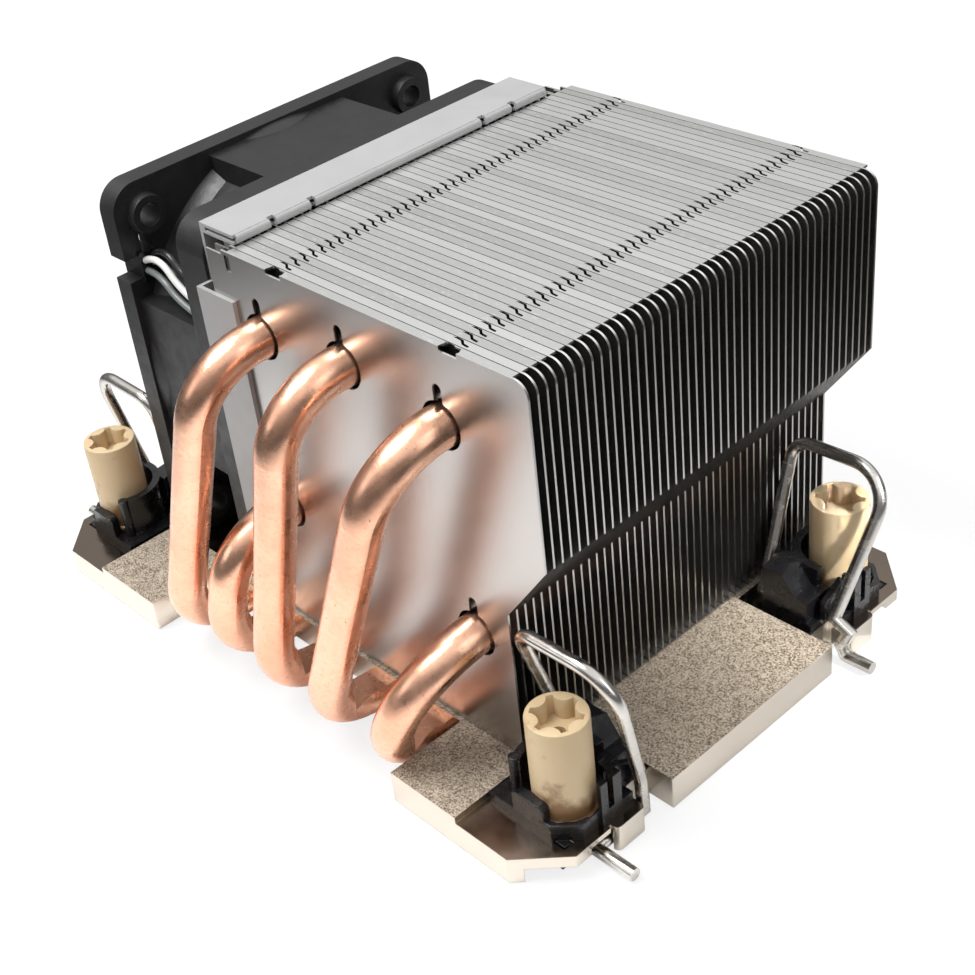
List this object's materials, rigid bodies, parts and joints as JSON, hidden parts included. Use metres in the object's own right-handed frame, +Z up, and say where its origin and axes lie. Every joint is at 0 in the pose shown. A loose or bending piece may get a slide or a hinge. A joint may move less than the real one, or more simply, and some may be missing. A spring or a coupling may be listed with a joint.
{
  "type": "server cpu cooler with heat pipes and side fan",
  "caption": "Low server processor cooler: an upright stack of thin fins on heat pipes over a metal base, with a fan on one side and a sprung nut and wire bail at each corner.",
  "frame": {"origin": "centre of the base's underside, the face that meets the processor", "axes": "+Z up through the fins, +X the way the air leaves, -X the fan's side, -Y the side where the heat pipes turn"},
  "size_m": [0.1562, 0.0995, 0.0654],
  "materials": {
    "nickel_base": "nickel-plated copper, warm grey, brushed, with brown speckle",
    "copper_pipe": "bare copper, satin, lightly tarnished",
    "fin_sheet": "thin rolled aluminium sheet, satin",
    "white_sheet": "white-coated steel sheet, satin",
    "black_frame": "moulded dark grey plastic",
    "black_rotor": "moulded black plastic",
    "steel_yoke": "drawn steel",
    "ferrite": "bonded ferrite",
    "ground_steel": "ground steel",
    "winding": "enamelled copper on laminated steel",
    "board": "green circuit board",
    "screw_steel": "zinc-plated steel",
    "beige_nut": "natural beige engineering plastic",
    "black_retainer": "moulded black plastic",
    "bright_wire": "bright drawn stainless wire",
    "sleeve": "braided sleeve",
    "connector": "natural nylon connector housing",
    "tie": "nylon tie",
    "wire_black": "black wire insulation",
    "wire_grey": "grey wire insulation",
    "wire_light": "light wire insulation"
  },
  "bodies": {
    "cooler": {"base_plate": "nickel_base", "heat_pipe_1": "copper_pipe", "heat_pipe_2": "copper_pipe", "heat_pipe_3": "copper_pipe", "heat_pipe_4": "copper_pipe", "heat_pipe_5": "copper_pipe", "fin_near": "fin_sheet", "fin_stack": "fin_sheet", "fin_far": "fin_sheet", "fan_bracket": "white_sheet", "fan_frame": "black_frame", "fan_stator": "winding", "fan_board": "board", "fan_bearings": "ground_steel", "fan_screws": "screw_steel", "retainer_front": "black_retainer", "retainer_right": "black_retainer", "retainer_left": "black_retainer", "retainer_rear": "black_retainer", "fan_lead": "sleeve", "lead_clip": "black_retainer", "lead_coil": "sleeve", "lead_connector": "connector", "lead_tail": "sleeve", "lead_tie": "tie", "lead_wire_black": "wire_black", "lead_wire_dark": "wire_black", "lead_wire_grey": "wire_grey", "lead_wire_white": "wire_light"},
    "rotor": {"fan_rotor": "black_rotor", "fan_yoke": "steel_yoke", "fan_magnet": "ferrite", "fan_shaft": "ground_steel"},
    "nut_front": {"nut_front": "beige_nut"},
    "nut_right": {"nut_right": "beige_nut"},
    "nut_left": {"nut_left": "beige_nut"},
    "nut_rear": {"nut_rear": "beige_nut"},
    "bail_front": {"bail_front": "bright_wire"},
    "bail_right": {"bail_right": "bright_wire"},
    "bail_left": {"bail_left": "bright_wire"},
    "bail_rear": {"bail_rear": "bright_wire"}
  },
  "joints": [
    {"name": "fan_spin", "type": "hinge", "parent": "cooler", "child": "rotor", "pos_m": [-0.027, 0.0055, 0.0342], "axis": [1, 0, 0], "continuous": true},
    {"name": "nut_front_turn", "type": "hinge", "parent": "cooler", "child": "nut_front", "pos_m": [0.049, -0.028, 0.01], "axis": [0, 0, 1], "continuous": true},
    {"name": "nut_right_turn", "type": "hinge", "parent": "cooler", "child": "nut_right", "pos_m": [0.049, 0.028, 0.01], "axis": [0, 0, 1], "continuous": true},
    {"name": "nut_left_turn", "type": "hinge", "parent": "cooler", "child": "nut_left", "pos_m": [-0.049, -0.028, 0.01], "axis": [0, 0, 1], "continuous": true},
    {"name": "nut_rear_turn", "type": "hinge", "parent": "cooler", "child": "nut_rear", "pos_m": [-0.049, 0.028, 0.01], "axis": [0, 0, 1], "continuous": true},
    {"name": "bail_front_swing", "type": "hinge", "parent": "cooler", "child": "bail_front", "pos_m": [0.0425, -0.0197, 0.0059], "axis": [1, 0, 0], "range_deg": [-7, 11]},
    {"name": "bail_right_swing", "type": "hinge", "parent": "cooler", "child": "bail_right", "pos_m": [0.0425, 0.0197, 0.0059], "axis": [-1, 0, 0], "range_deg": [-8, 3]},
    {"name": "bail_left_swing", "type": "hinge", "parent": "cooler", "child": "bail_left", "pos_m": [-0.0425, -0.0197, 0.0059], "axis": [1, 0, 0], "range_deg": [-7, 17]},
    {"name": "bail_rear_swing", "type": "hinge", "parent": "cooler", "child": "bail_rear", "pos_m": [-0.0425, 0.0197, 0.0059], "axis": [-1, 0, 0], "range_deg": [-8, 11]}
  ]
}
